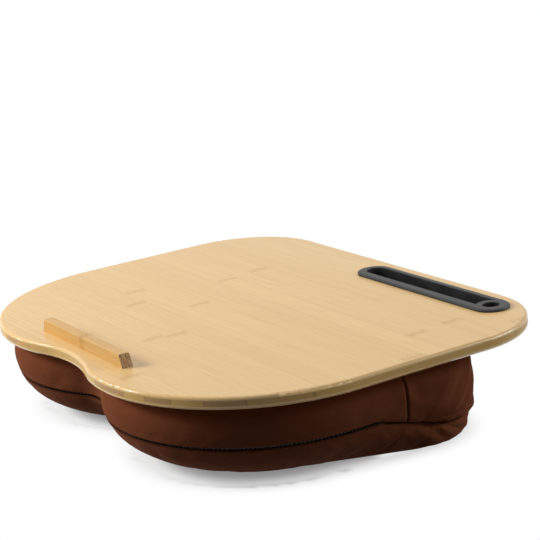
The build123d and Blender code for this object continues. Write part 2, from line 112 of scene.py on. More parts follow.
class Finish:
    """A material under construction, on the coordinates in mm of the piece that wears it."""

    def __init__(self, name, **constants):
        self.material = bpy.data.materials.new(name)
        self.material.use_nodes = True
        self.tree = self.material.node_tree
        self.shader = self.tree.nodes["Principled BSDF"]
        for socket, value in constants.items():
            self.shader.inputs[socket.replace("_", " ")].default_value = value
        place = self.node("ShaderNodeTexCoord", pick="Object")
        self.x, self.y, self.z = (self.split(place, axis) * 1000.0 for axis in "XYZ")

    def node(self, kind, settings=None, inputs=None, pick=0):
        """Add a node: its settings first, then its values or links, and give one output."""
        made = self.tree.nodes.new(kind)
        for key, value in (settings or {}).items():
            setattr(made, key, value)
        for key, value in (inputs or {}).items():
            self.plug(made.inputs[key], value)
        return Val(self, made.outputs[pick])

    def plug(self, socket, value):
        """Link a value to a socket, or set it there if it is a constant."""
        if isinstance(value, Val):
            self.tree.links.new(value.socket, socket)
        else:
            socket.default_value = value

    def split(self, vector, axis):
        """Give one part of a vector."""
        return self.node("ShaderNodeSeparateXYZ", None, {0: vector}, pick=axis)

    def join(self, x=0.0, y=0.0, z=0.0):
        """Make a vector of three values."""
        return self.node("ShaderNodeCombineXYZ", None, {0: x, 1: y, 2: z})

    def noise(self, x, y, z, detail=2.0, rough=0.5):
        """Give smooth noise from 0 to 1, one lump for each whole step of x, y or z."""
        inputs = {"Vector": self.join(x, y, z), "Scale": 1.0, "Detail": detail, "Roughness": rough}
        return self.node("ShaderNodeTexNoise", {"noise_dimensions": "3D"}, inputs)

    def chance(self, x, y=0.0):
        """Give one random number from 0 to 1 for each pair of whole numbers."""
        inputs = {"Vector": self.join(x, y)}
        return self.node("ShaderNodeTexWhiteNoise", {"noise_dimensions": "2D"}, inputs)

    def cells(self, x, y, z):
        """Give the distance from the middle of the nearest of many scattered cells."""
        settings = {"voronoi_dimensions": "3D"}
        inputs = {"Vector": self.join(x, y, z), "Scale": 1.0}
        return self.node("ShaderNodeTexVoronoi", settings, inputs, pick="Distance")

    def attribute(self, name):
        """Give the number that each point of the piece has under this name."""
        return self.node("ShaderNodeAttribute", {"attribute_name": name}, pick="Fac")

    def mix(self, factor, low, high, how="MIX"):
        """Mix two colours, each a link or three numbers."""
        made = self.tree.nodes.new("ShaderNodeMix")
        made.data_type = "RGBA"
        made.blend_type = how
        self.plug(made.inputs[0], factor)
        for slot, colour in ((6, low), (7, high)):
            self.plug(made.inputs[slot], colour if isinstance(colour, Val) else (*colour, 1.0))
        return Val(self, made.outputs[2])

    def shade(self, colour, amount):
        """Multiply a colour by one number."""
        level = self.node("ShaderNodeCombineColor", None, {0: amount, 1: amount, 2: amount})
        return self.mix(1.0, colour, level, "MULTIPLY")

    def finish(self, colour, rough=None, bump=None, depth=0.2):
        """Link the colour, the roughness and a relief so many mm deep, and give the material."""
        self.plug(self.shader.inputs["Base Color"], colour)
        if rough is not None:
            self.plug(self.shader.inputs["Roughness"], rough)
        if bump is not None:
            inputs = {"Height": bump, "Distance": depth * MM, "Strength": 1.0}
            self.plug(self.shader.inputs["Normal"], self.node("ShaderNodeBump", None, inputs))
        return self.material


# Materials


def glue_lines(f, reach):
    """Where the core ply is glued between the face plies, fading over so many mm."""
    levels = (CORE_TOP, CORE_BOTTOM)
    upper, lower = ((f.z - level).abs().smooth(0.0, reach, 1.0, 0.0) for level in levels)
    return upper + lower


def face_bamboo():
    """Face plies: strips along X, each with its own tone and fibres, crossed by rows of knuckles."""
    f = Finish("lacquered_face_bamboo", Coat_Roughness=0.12, Specular_IOR_Level=0.35)
    place = f.y / FACE_STRIP + 0.37
    strip = place.floor()
    own = f.chance(strip)
    shift = f.chance(strip, 5.0)
    fibre = f.noise(f.x * 0.012, f.y * 1.5 + own * 40.0, f.z * 1.5, detail=3.0, rough=0.6)
    streak = f.noise(f.x * 0.0045, f.y * 0.3 + own * 17.0, f.z * 0.3, detail=2.0)
    dash = f.noise(f.x * 0.07, f.y * 3.2, f.z * 3.2 + own * 9.0, detail=1.0).smooth(0.62, 0.78)
    bow = f.noise(f.x * 0.05, f.y * 0.25, 3.0) * 8.0
    turn = ((f.x + bow + shift * KNUCKLES + 60.0) / KNUCKLES).fract()
    knuckle = (turn - 0.5).abs().smooth(0.0, 0.009, 1.0, 0.0)
    speck = f.noise(f.x * 0.45, f.y * 0.9, f.z, detail=3.0, rough=0.7).smooth(0.42, 0.58)
    knuckle = knuckle * (speck * 0.8 + 0.2)
    joint = (place.fract() - 0.5).abs().smooth(0.482, 0.5)
    glue = glue_lines(f, 0.2)
    # The face's colours; below the top face all is a richer gold under thicker lacquer
    base = f.mix((streak * 0.75 + own * 0.3 - 0.1).clip(), (0.80, 0.545, 0.240), (0.68, 0.43, 0.165))
    base = f.mix((fibre.smooth(0.35, 0.75) * 0.4).clip(), base, (0.50, 0.31, 0.135))
    base = f.mix(dash * 0.30, base, (0.40, 0.22, 0.08))
    base = f.mix((knuckle * 0.5).clip(), base, (0.42, 0.22, 0.09))
    side = (f.z - CORE_TOP).smooth(2.6, 1.4)
    base = f.mix(side * 0.75, base, (0.66, 0.40, 0.090))
    base = f.shade(base, 1.0 - joint * 0.12 - glue * 0.3)
    rough = fibre * 0.16 + 0.31 + knuckle * 0.1
    relief = fibre * 0.5 - dash * 0.4 - joint * 0.5 - knuckle * 0.5
    f.plug(f.shader.inputs["Coat Weight"], side * 0.75 + 0.15)
    return f.finish(base, rough, relief, 0.03)


def core_bamboo():
    """Core ply: strips along Y, so its edge shows blocks of end grain in mixed tones."""
    lacquer = {"Coat_Weight": 0.15, "Coat_Roughness": 0.25, "Specular_IOR_Level": 0.4}
    f = Finish("lacquered_core_bamboo", **lacquer)
    place = f.x / CORE_STRIP + 0.62
    strip = place.floor()
    own = f.chance(strip)
    tint = f.chance(strip, 9.0)
    grain = f.noise(f.x * 1.7, f.y * 0.03, f.z * 1.7 + own * 30.0, detail=3.0, rough=0.6)
    bundle = f.cells(f.x * 1.5, f.y * 0.08, f.z * 1.5 + own * 8.0).smooth(0.1, 0.38, 1.0, 0.0)
    joint = (place.fract() - 0.5).abs().smooth(0.47, 0.5)
    glue = glue_lines(f, 0.22)
    base = f.mix(own, (0.70, 0.44, 0.120), (0.57, 0.34, 0.085))
    base = f.mix(tint.smooth(0.68, 0.85) * 0.8, base, (0.42, 0.225, 0.085))
    base = f.mix(grain.smooth(0.3, 0.8) * 0.4, base, (0.38, 0.21, 0.06))
    base = f.mix(bundle * 0.25, base, (0.28, 0.14, 0.04))
    base = f.shade(base, 1.0 - joint * 0.35 - glue * 0.35)
    relief = grain * 0.6 - joint * 0.8 - glue * 0.5
    return f.finish(base, grain * 0.2 + 0.34, relief, 0.05)


def stop_bamboo():
    """Stop bar: amber bamboo with a knot, and dark burred end grain on its slanted ends."""
    lacquer = {"Coat_Weight": 0.12, "Coat_Roughness": 0.3, "Specular_IOR_Level": 0.4}
    f = Finish("lacquered_stop_bamboo", **lacquer)
    fibre = f.noise(f.x * 0.02, f.y * 1.3, f.z * 1.3, detail=4.0, rough=0.65)
    broad = f.noise(f.x * 0.012, f.y * 0.2 + 4.0, f.z * 0.25, detail=1.0)
    line = f.noise(f.x * 0.045, f.y * 3.0, f.z * 2.2 + 11.0, detail=2.0).smooth(0.56, 0.7)
    bow = f.noise(f.x * 0.1, f.y * 0.4, f.z * 0.35) * 9.0
    knot = ((f.x + bow - 6.0) / 5.0).abs().smooth(0.2, 1.3, 1.0, 0.0)
    speck = f.noise(f.x * 0.8, f.y * 1.4, f.z * 1.4, detail=3.0).smooth(0.45, 0.6)
    end = (f.x.abs() + (f.z - BOARD_TOP) * BAR_SLANT).smooth(BAR_HALF - 0.5, BAR_HALF - 0.15)
    burr = f.noise(f.x * 0.3, f.y * 1.1, f.z * 0.16, detail=3.0, rough=0.7)
    base = f.mix(broad.smooth(0.3, 0.7), (0.62, 0.345, 0.090), (0.60, 0.375, 0.125))
    base = f.mix(fibre.smooth(0.35, 0.75) * 0.4, base, (0.46, 0.22, 0.045))
    base = f.mix(line * 0.35, base, (0.34, 0.145, 0.03))
    base = f.mix(knot * speck * 0.7, base, (0.28, 0.11, 0.02))
    grain = f.mix(burr.smooth(0.42, 0.55), (0.13, 0.055, 0.015), (0.50, 0.29, 0.095))
    base = f.mix(end, base, grain)
    relief = fibre * 0.6 - line * 0.3 - knot * speck * 0.4 + burr * end * 1.5
    return f.finish(base, fibre * 0.2 + 0.32, relief, 0.15)


def moulded_plastic():
    """Insert: black satin moulding with a fine spark texture and faint handling marks."""
    f = Finish("black_satin_moulding", Specular_IOR_Level=0.4)
    grit = f.noise(f.x * 4.0, f.y * 4.0, f.z * 4.0, detail=2.0)
    rub = f.noise(f.x * 0.05, f.y * 0.12, f.z * 0.1, detail=3.0)
    base = f.mix(rub.smooth(0.35, 0.75), (0.010, 0.010, 0.011), (0.018, 0.018, 0.019))
    return f.finish(base, rub * 0.20 + 0.36 + grit * 0.06, grit, 0.025)


def screw_steel():
    """Screws: plated steel with fine turning marks."""
    f = Finish("plated_screw_steel", Metallic=1.0)
    turn = f.noise(f.x * 2.0, f.y * 2.0, f.z * 8.0, detail=2.0)
    base = f.mix(turn, (0.42, 0.42, 0.43), (0.62, 0.62, 0.62))
    return f.finish(base, turn * 0.2 + 0.28, turn, 0.02)


def enamel(name, dark, worn, level):
    """Zipper metal: dark enamel, a little lighter and smoother where fingers rub it."""
    f = Finish(name, Metallic=0.75)
    rub = f.noise(f.x * 0.5, f.y * 0.5, f.z * 0.5, detail=3.0)
    pit = f.noise(f.x * 5.0, f.y * 5.0, f.z * 5.0, detail=1.0)
    base = f.mix(rub.smooth(0.4, 0.7) * level, dark, worn)
    return f.finish(base, rub * -0.15 + 0.42, pit, 0.02)


def nylon_teeth():
    """Teeth: dark moulded nylon, faintly flecked."""
    f = Finish("dark_nylon_teeth", Specular_IOR_Level=0.5)
    fleck = f.noise(f.x * 0.8, f.y * 0.8, f.z * 0.8, detail=2.0)
    base = f.mix(fleck, (0.012, 0.007, 0.006), (0.028, 0.016, 0.012))
    return f.finish(base, fleck * 0.15 + 0.32, fleck, 0.03)


def microfibre():
    """Cover: brushed brown microfibre, its nap mottled, with painted shade along its seams and over
    the zipper's lips.
    """
    nap_sheen = {"Sheen_Weight": 0.06, "Sheen_Roughness": 0.5, "Specular_IOR_Level": 0.08}
    f = Finish("brushed_brown_microfibre", **nap_sheen)
    f.shader.inputs["Sheen Tint"].default_value = (0.60, 0.25, 0.12, 1.0)
    nap = f.noise(f.x * 0.045, f.y * 0.045, f.z * 0.06, detail=3.0, rough=0.55)
    brush = f.noise(f.x * 0.25, f.y * 0.25, f.z * 0.5, detail=3.0, rough=0.6)
    pile = f.noise(f.x * 2.6, f.y * 2.6, f.z * 2.6, detail=2.0, rough=0.7)
    seam = f.attribute("painted_seam_shade")
    mottle = (nap * 0.7 + brush * 0.5 - 0.1).clip()
    base = f.mix(mottle, (0.165, 0.047, 0.018), (0.108, 0.030, 0.012))
    base = f.mix(pile.smooth(0.3, 0.75) * 0.3, base, (0.200, 0.061, 0.025))
    # Painted shade: the colour is up to 0.65 darker along the seams and over the zipper's lips, where
    # the cloth pulls in and the upper lip overhangs the chain
    base = f.shade(base, 1.0 - seam * 0.65)
    return f.finish(base, brush * 0.1 + 0.82, pile * 0.7 + brush * 0.5, 0.16)


def woven_tape(name, light, dark, thread):
    """Tape or pad on its own UV map in mm: a plain weave of threads so many mm apart."""
    f = Finish(name, Roughness=0.85, Sheen_Weight=0.15)
    flat = f.node("ShaderNodeUVMap", {"uv_map": "cloth_mm"})
    u, v = f.split(flat, "X"), f.split(flat, "Y")
    warp = (u / thread).fract() - 0.5
    weft = (v / thread).fract() - 0.5
    lump = 1.0 - (warp * warp + weft * weft) * 3.0
    wool = f.noise(u * 1.5, v * 1.5, 0.0, detail=2.0)
    base = f.mix((lump * 0.6 + wool * 0.4).clip(), dark, light)
    return f.finish(base, None, lump + wool * 0.4, 0.12)


def wear(name, material):
    """Give a CAD node one material all over."""
    slots = nodes[name].data.materials
    slots.clear()
    slots.append(material)


# Camera and stage

# The fit's result: the eye, its bearing, how far it looks down, its roll and its focal length
EYE = np.array([1131.46, -643.69, 459.12]) * MM
AZIMUTH, DROP, ROLL = (math.radians(a) for a in (-59.03, 14.92, 5.35))
FOCAL_PIXELS, FRAME_PIXELS = 1600.0, 540.0
SENSOR_MM = 36.0

# Where the soft boxes aim, each box's place, size in metres and watts, and whether it is mirrored
AIM = (0, -0.02, 0.05)
BOXES = {
    "left_box": ((-1.25, -1.43, 0.9), (1.1, 0.9), 35.0, False),
    "glint_box": ((-1.0, -1.3, 1.0), (0.5, 0.45), 14.0, True),
    "right_box": ((1.05, 1.62, 0.85), (1.3, 1.0), 19.0, True),
    "top_box": ((0.0, 0.0, 1.9), (1.4, 1.4), 12.0, True),
}
WHITE = (1.0, 1.0, 1.0, 1.0)
SKY_STRENGTH = 0.06

# Inset in mm of the plan that the floor's shadow follows, in front and at the rear
FOOT_INSET, FOOT_REAR = 35.0, 22.0


def place_camera():
    """Set the camera that a fit to the board's own symmetry gave for the photograph."""
    reach = math.cos(DROP)
    ahead = np.array([math.sin(AZIMUTH) * reach, math.cos(AZIMUTH) * reach, -math.sin(DROP)])
    level = np.cross(ahead, (0, 0, 1))
    level /= np.linalg.norm(level)
    down = np.cross(ahead, level)
    right = level * math.cos(ROLL) + down * math.sin(ROLL)
    below = down * math.cos(ROLL) - level * math.sin(ROLL)
    data = bpy.data.cameras.new("photo_camera")
    data.sensor_width = SENSOR_MM
    data.lens = SENSOR_MM * FOCAL_PIXELS / FRAME_PIXELS
    camera = bpy.data.objects.new("photo_camera", data)
    turn = Matrix(np.stack([right, -below, -ahead], axis=1).tolist()).to_4x4()
    camera.matrix_world = Matrix.Translation(EYE) @ turn
    bpy.context.scene.collection.objects.link(camera)
    bpy.context.scene.camera = camera


def lamp(name, place, size, power, mirrored):
    """Hang a soft box that looks at the tray. One that isn't mirrored leaves no glare on it."""
    data = bpy.data.lights.new(name, "AREA")
    data.shape = "RECTANGLE"
    data.size, data.size_y = size
    data.energy = power
    light = bpy.data.objects.new(name, data)
    light.location = place
    light.visible_glossy = mirrored
    light.rotation_euler = (Vector(place) - Vector(AIM)).to_track_quat("Z", "Y").to_euler()
    bpy.context.scene.collection.objects.link(light)


def new_piece(name, points, faces, smooth=True):
    """Make an object of points in metres and faces, and link it to the scene."""
    mesh = bpy.data.meshes.new(name)
    mesh.from_pydata(np.asarray(points, float).reshape(-1, 3).tolist(), [], faces)
    if smooth:
        mesh.polygons.foreach_set("use_smooth", np.ones(len(mesh.polygons), bool))
    mesh.update()
    piece = bpy.data.objects.new(name, mesh)
    bpy.context.scene.collection.objects.link(piece)
    return piece


def set_shade(piece, name, values):
    """Give a piece one number for each of its points, for its material to read."""
    layer = piece.data.attributes.new(name, "FLOAT", "POINT")
    layer.data.foreach_set("value", values.astype(np.float32))


def lay_cloth(piece, flat):
    """Give a piece a UV map in mm from where each of its points lies on the flat cloth."""
    layer = piece.data.uv_layers.new(name="cloth_mm")
    corner = np.zeros(len(piece.data.loops), int)
    piece.data.loops.foreach_get("vertex_index", corner)
    layer.data.foreach_set("uv", flat[corner].astype(np.float32).ravel())


def pale_floor():
    """Floor: it takes the shadow near the cushion and is plain white to the camera further out.
    To light that only bounces it is dark, so it throws little back up at the cushion."""
    f = Finish("pale_floor", Roughness=0.95, Specular_IOR_Level=0.0)
    seen_by = ("Is Camera Ray", "Is Glossy Ray", "Is Transmission Ray")
    camera, glossy, through = (f.node("ShaderNodeLightPath", pick=ray) for ray in seen_by)
    seen = (camera + glossy + through).clip()
    spread = f.attribute("clear_mm").smooth(-22.0, 24.0, 0.25, 1.0)
    f.plug(f.shader.inputs["Base Color"], f.mix(seen, (0.15, 0.15, 0.15), (0.95, 0.95, 0.95)))
    glow = f.node("ShaderNodeEmission", None, {"Color": WHITE, "Strength": 1.0})
    shaders = {0: seen * spread, 1: Val(f, f.shader.outputs[0]), 2: glow}
    white = f.node("ShaderNodeMixShader", None, shaders)
    f.plug(f.tree.nodes["Material Output"].inputs["Surface"], white)
    return f.material


def lay_floor(foot_x, foot_y):
    """Lay the floor as a grid that is fine near the cushion. Each point has its distance from the
    cushion's plan, which sets the reach of the shadow."""
    line = np.concatenate([[-6000.0, -1500.0], np.linspace(-400.0, 400.0, 171), [1500.0, 6000.0]])
    x, y = np.meshgrid(line, line)
    cells = np.arange(len(line) - 1)
    row, column = (i.ravel() for i in np.meshgrid(cells, cells, indexing="ij"))
    first = row * len(line) + column
    corners = [first, first + 1, first + len(line) + 1, first + len(line)]
    points = np.stack([x, y, 0 * x], axis=-1) * MM
    floor = new_piece("floor", points, np.stack(corners, axis=-1).tolist())
    gap = np.hypot(x.reshape(-1, 1) - foot_x[::2], y.reshape(-1, 1) - foot_y[::2]).min(axis=1)
    # Under the cushion the distance counts as negative
    in_lobe = np.hypot(np.abs(x) - LOBE_X, y - LOBE_Y) < LOBE_R - 30.0
    in_middle = (np.abs(x) < 180.0) & (np.abs(y - 25.0) < 65.0)
    set_shade(floor, "clear_mm", np.where((in_lobe | in_middle).ravel(), -gap, gap))
    floor.data.materials.append(pale_floor())


def hang_sky():
    """Set a faint sky. The camera sees it as white, and so do reflections and clear materials."""
    world = bpy.data.worlds.new("soft_sky")
    bpy.context.scene.world = world
    world.use_nodes = True
    tree = world.node_tree
    sky = tree.nodes["Background"]
    sky.inputs["Color"].default_value = WHITE
    sky.inputs["Strength"].default_value = SKY_STRENGTH
    seen = tree.nodes.new("ShaderNodeBackground")
    seen.inputs["Color"].default_value = WHITE
    path = tree.nodes.new("ShaderNodeLightPath")
    mixed = tree.nodes.new("ShaderNodeMixShader")
    shows, through = (tree.nodes.new("ShaderNodeMath") for _ in range(2))
    for either in (shows, through):
        either.operation, either.use_clamp = "ADD", True
    surface = tree.nodes["World Output"].inputs["Surface"]
    for source, target in (
        (path.outputs["Is Camera Ray"], shows.inputs[0]),
        (path.outputs["Is Glossy Ray"], through.inputs[0]),
        (path.outputs["Is Transmission Ray"], through.inputs[1]),
        (through.outputs[0], shows.inputs[1]),
        (shows.outputs[0], mixed.inputs[0]),
        (sky.outputs[0], mixed.inputs[1]),
        (seen.outputs[0], mixed.inputs[2]),
        (mixed.outputs[0], surface),
    ):
        tree.links.new(source, target)


# Cushion

NOTCH, LOBE, SIDE, BEND, REAR = range(5)
# Middle of the rings that close the top and the base
MIDDLE_X, MIDDLE_Y = 0.0, -18.0
# The roll of the zipper's lips, and its pocket's half height and depth, in mm
LIP, POCKET_TALL, POCKET_SHUT, POCKET_DEEP = 0.9, 8.3, 0.3, 3.9
# The back corners' place along half the walk, and their reach along it, in mm
CORNER_PLACE, CORNER_REACH = 410.0, 75.0
# How far the seam falls below the zipper's level at these y, past its right and left-hand ends
FALL_RIGHT = ([-8.0, 41.0, 58.0, 80.0, 107.0], [1.0, 14.3, 16.6, 18.4, 19.4])
FALL_LEFT = ([12.0, 41.0, 58.0, 80.0, 107.0], [1.0, 12.0, 16.6, 18.4, 19.4])
# Folds at the back corners: place along half the walk, slope, width, height of the middle, depth
FOLDS = [
    (372.0, 0.8, 4.5, 50.0, 0.8),
    (388.0, 1.1, 4.5, 46.0, -1.1),
    (403.0, 1.4, 4.5, 44.0, 1.7),
    (418.0, 1.8, 5.5, 40.0, -1.1),
    (433.0, 2.2, 6.5, 38.0, 1.4),
    (352.0, 3.5, 12.0, 60.0, 0.8),
    (480.0, -0.9, 5.5, 46.0, -0.9),
]
FOLD_TALL = 13.0
# Fullness at the back corners: size, width and height of its middle, low and high
BULGES = ((7.6, 20.0, 20.0), (1.6, 9.0, 57.0))
# Share of the solver's shift that is kept in front, and how much more at the rear
KEPT_FRONT, KEPT_REAR = 0.22, 0.5
PUCKER_FRONT, PUCKER_REAR, PUCKER_REACH = 0.10, 0.35, 6.0
# How deep and how wide the seams pull in: the upright ones, the rear one, and its tucked panel
UPRIGHT_PULL, UPRIGHT_WIDE = 1.1, 1.1
SEAM_PULL, SEAM_EASED, SEAM_WIDE, SEAM_BEHIND = 2.0, 0.8, 2.6, 2.0
TUCK, TUCK_REACH = 2.4, 8.0
# The hollow for the pull when it is laid back: depth, middle in y, and half width in y and z
HOLLOW, HOLLOW_Y, HOLLOW_LONG, HOLLOW_TALL = 2.8, 17.0, 7.0, 7.5
# The cloth solver's settings, its frames, and the least and most that its result may move the cover
CLOTH = {
    "quality": 6, "mass": 0.2, "tension_stiffness": 12.0, "compression_stiffness": 12.0,
    "shear_stiffness": 4.0, "bending_stiffness": 0.35, "vertex_group_mass": "held",
    "shrink_min": -0.035, "use_pressure": True, "uniform_pressure_force": 4.0,
}
CLOTH_FRAMES = 24
SHIFT_LEAST, SHIFT_MOST = -6.0, 9.0


def even(count):
    """Equal shares from 0 up to 1, without the 1 itself."""
    return np.arange(count) / count


def half_stations(counts):
    """Right half of the walk round the plan, from the notch to the middle of the back: the piece that
    each station is on, and its share of the way along that piece."""
    part, share = [], []
    for piece, shares in zip((NOTCH, LOBE, SIDE, BEND, REAR), counts):
        part += [piece] * len(shares)
        share += list(shares)
    return np.array(part + [REAR]), np.array(share + [1.0])


def stations():
    """Walk the whole plan anticlockwise; the left half mirrors the right. Stations crowd at the
    upright seam."""
    run = BACK - BACK_SHARE * WAIST_INSET - CORNER + WAIST_INSET - LOBE_Y
    seam = (BAND_JOINT - LOBE_Y) / run
    near = np.array([-4.0, -2.6, -1.8, -1.2, -0.7, -0.3, 0.0, 0.3, 0.7, 1.2, 1.8, 2.6, 4.0]) / run
    clear = 6.0 / run
    before, after = np.linspace(0, seam - clear, 18), np.linspace(seam + clear, 1, 13)[:-1]
    side = np.concatenate([before, seam + near, after])
    part, share = half_stations([even(12), even(118), side, even(60), even(60)])
    whole = np.concatenate([part, part[-2:0:-1]])
    shares = np.concatenate([share, share[-2:0:-1]])
    sign = np.concatenate([np.ones(len(part)), -np.ones(len(part) - 2)])
    return whole, shares, sign


PART, SHARE, SIGN = stations()


def plan(draw, rear=None):
    """Plan of the cushion at an inset from the board's edge, in front and at the rear: an arc round
    the notch, an arc round the lobe, their tangent to the corner's arc, and a straight back. Each
    station lies its share of the way along its piece."""
    rear = draw if rear is None else rear
    lobe, root, corner = LOBE_R - draw, CREASE + draw, CORNER - rear
    back = BACK - BACK_SHARE * rear
    corner_x, corner_y = LOBE_X + LOBE_R - CORNER, back - corner
    across, along = corner_x - LOBE_X, corner_y - LOBE_Y
    apart = np.hypot(across, along)
    tilt = np.arctan2(along, across) - np.arccos(np.clip((lobe - corner) / apart, -1, 1))
    notch_turn = math.pi / 2 - (math.pi / 2 - LEAN) * SHARE
    lobe_turn = LEAN - math.pi + (math.pi - LEAN + tilt) * SHARE
    bend = tilt + (math.pi / 2 - tilt) * SHARE
    start_x, start_y = LOBE_X + lobe * np.cos(tilt), LOBE_Y + lobe * np.sin(tilt)
    end_x, end_y = corner_x + corner * np.cos(tilt), corner_y + corner * np.sin(tilt)
    pieces = [PART == piece for piece in range(5)]
    x = np.select(pieces, [
        root * np.cos(notch_turn), LOBE_X + lobe * np.cos(lobe_turn),
        start_x + (end_x - start_x) * SHARE, corner_x + corner * np.cos(bend), corner_x * (1 - SHARE),
    ])
    y = np.select(pieces, [
        CREASE_Y + root * np.sin(notch_turn), LOBE_Y + lobe * np.sin(lobe_turn),
        start_y + (end_y - start_y) * SHARE, corner_y + corner * np.sin(bend), back + 0 * SHARE,
    ])
    return x * SIGN, y


def inset_at(height):
    """Inset of the cover's face at a height: a power curve below the waist and another above it."""
    below = BASE_DRAW * np.clip((WAIST - height) / WAIST, 0, 1) ** BASE_POWER
    above = SHOULDER_DRAW * np.clip((height - WAIST) / (TOP - WAIST), 0, 1) ** SHOULDER_POWER
    return WAIST_INSET + below + above


def rear_inset_at(height):
    """Inset of the back corners: below the rear seam the cover stands nearly upright there."""
    fall = np.clip(1 - height / REAR_SEAM, 0, 1)
    upright = np.minimum(inset_at(height), inset_at(np.array(REAR_SEAM)) + REAR_DRAW * fall**2)
    return np.where(height >= REAR_SEAM, inset_at(height), upright)


def fade(value, low, high):
    """Smooth step from 0 at low to 1 at high."""
    share = np.clip((value - low) / (high - low), 0, 1)
    return share * share * (3 - 2 * share)


def bell(value, width, middle=0.0):
    """Bell curve, 1 at its middle."""
    return np.exp(-(((value - middle) / width) ** 2))


waist_x, waist_y = plan(np.full(len(PART), WAIST_INSET))
# Length along the walk round the waist, and the shorter way back to the notch
step = np.hypot(np.diff(waist_x, append=waist_x[0]), np.diff(waist_y, append=waist_y[0]))
walk = np.concatenate([[0], np.cumsum(step)[:-1]])
whole_walk = step.sum()
half_walk = np.minimum(walk, whole_walk - walk)
on_side = np.where(PART <= LOBE, LOBE_Y - 1.0, np.where(PART == SIDE, waist_y, 100.0))
# y of the zipper's end, 1 where the zipper runs, and 1 where its lips part for the slider
zip_end = np.where(SIGN > 0, ZIP_RIGHT, ZIP_LEFT)
zipped = 1 - fade(on_side, zip_end - 1.5, zip_end + 1.0)
parted = (SIGN < 0) * zipped * fade(waist_y, -48.0, -38.0) * (PART != REAR)
# Height of the zipper and the seam past it, half the gap between the lips, 1 where the pocket
# holds the chain, and distance from the upright seam
fall = np.where(SIGN > 0, np.interp(waist_y, *FALL_RIGHT), np.interp(waist_y, *FALL_LEFT))
seam_height = ZIP_Z - (1 - zipped) * fall
half_gap = 0.25 + zipped * (0.75 + 3.5 * parted)
pocket = (on_side < zip_end + 6.5).astype(float)
beside = np.where(PART == SIDE, np.abs(waist_y - BAND_JOINT), 99.0)

# Rows of the cover from the middle of its top to the middle of its base, by stretch and share
ROWS = [(kind, share) for kind, shares in (
    ("top", [0.2, 0.5, 0.8, 0.93]),
    ("shoulder", np.linspace(0, 1, 10)[:-1]),
    ("upper", 1 - (1 - np.linspace(0, 1, 30)[:-1]) ** 1.25),
    ("lip_high", [0.0, 0.35, 0.7, 1.0]),
    ("hem_high", [0.1, 0.5, 1.0]),
    ("floor", [0.0, 0.33, 0.67, 1.0]),
    ("hem_low", [1.0, 0.5, 0.1]),
    ("lip_low", [1.0, 0.7, 0.35, 0.0]),
    ("lower", np.linspace(0, 1, 46)[1:] ** 1.15),
    ("base", [0.985, 0.96, 0.9, 0.75, 0.5, 0.2]),
) for share in shares]
POCKET_ROWS = ("lip_high", "hem_high", "floor", "hem_low", "lip_low")
KIND = np.array([kind for kind, _ in ROWS])
PART_OF = np.array([share for _, share in ROWS])[:, None]


def is_kind(*kinds):
    """Which rows are of these kinds, as a column."""
    return np.isin(KIND, kinds)[:, None]


# Place of each row down the cloth: 0 top, 1 shoulder, 2 waist, 3 seam, 4 base's edge, 5 its middle
STARTS = {"top": (0, 1), "shoulder": (1, 2), "upper": (2, 3), "lower": (3, 4)}
STARTS.update({kind: (3, 3) for kind in POCKET_ROWS})
SHEET = np.array([
    STARTS[kind][0] + (STARTS[kind][1] - STARTS[kind][0]) * share if kind in STARTS else 5 - share
    for kind, share in ROWS
])


def cushion_base():
    """Points of the cushion before it is stuffed. Each row runs round the plan at its own height:
    down the shoulder and side to the upper lip, round the zipper's pocket, out again and down to
    the base."""
    high, low = seam_height + half_gap, seam_height - half_gap
    zero = np.zeros_like(seam_height)
    roll = np.sin(PART_OF * math.pi / 2)
    tall = POCKET_SHUT + POCKET_TALL * pocket
    kinds = [is_kind(kind) for kind in ("top", "shoulder", "upper", *POCKET_ROWS, "lower", "base")]
    height = np.select(kinds, [
        TOP + zero, TOP - (TOP - WAIST) * PART_OF + zero, WAIST + (high + LIP - WAIST) * PART_OF,
        high + LIP * (1 - roll), high + (seam_height + tall - high) * PART_OF,
        seam_height + tall * (1 - 2 * PART_OF),
        low + (seam_height - tall - low) * PART_OF, low - LIP * (1 - roll),
        (low - LIP) * (1 - PART_OF), zero,
    ])
    # The lips roll inward over the tapes
    behind = 1.35 + 0.15 * PART_OF
    rolled = behind * (1 - np.cos(PART_OF * math.pi / 2)) + zero
    inward = np.select(kinds, [
        zero, zero, zero, rolled, behind + zero, 0 * height, behind + zero, rolled, zero, zero,
    ])
    draw = inset_at(height) + inward
    back = np.where(pocket > 0, CHAIN_INSET + POCKET_DEEP, inset_at(height) + 2.4) + 0 * draw
    draw = np.where(is_kind("floor"), np.maximum(back, draw + 1.6), draw)
    x, y = plan(draw, rear_inset_at(height) + (draw - inset_at(height)))
    shrink = np.where(is_kind("top", "base"), PART_OF, 1.0)
    x, y = MIDDLE_X + (x - MIDDLE_X) * shrink, MIDDLE_Y + (y - MIDDLE_Y) * shrink
    return np.stack([x, y, height + zero], axis=-1)


def grid_normals(points):
    """Outward normals of the grid from its neighbours along and across the rows."""
    along = np.roll(points, -1, axis=1) - np.roll(points, 1, axis=1)
    down = np.gradient(points, axis=0)
    normal = np.cross(down, along)
    size = np.linalg.norm(normal, axis=-1, keepdims=True)
    return normal / np.maximum(size, 1e-9)


def tube_quads(count_rows, count_columns):
    """Quads of a tube whose rows are closed rings."""
    row, column = np.meshgrid(np.arange(count_rows - 1), np.arange(count_columns), indexing="ij")
    following = (column + 1) % count_columns
    a, b = row * count_columns + column, (row + 1) * count_columns + column
    c, d = (row + 1) * count_columns + following, row * count_columns + following
    return np.stack([a, b, c, d], axis=-1).reshape(-1, 4)


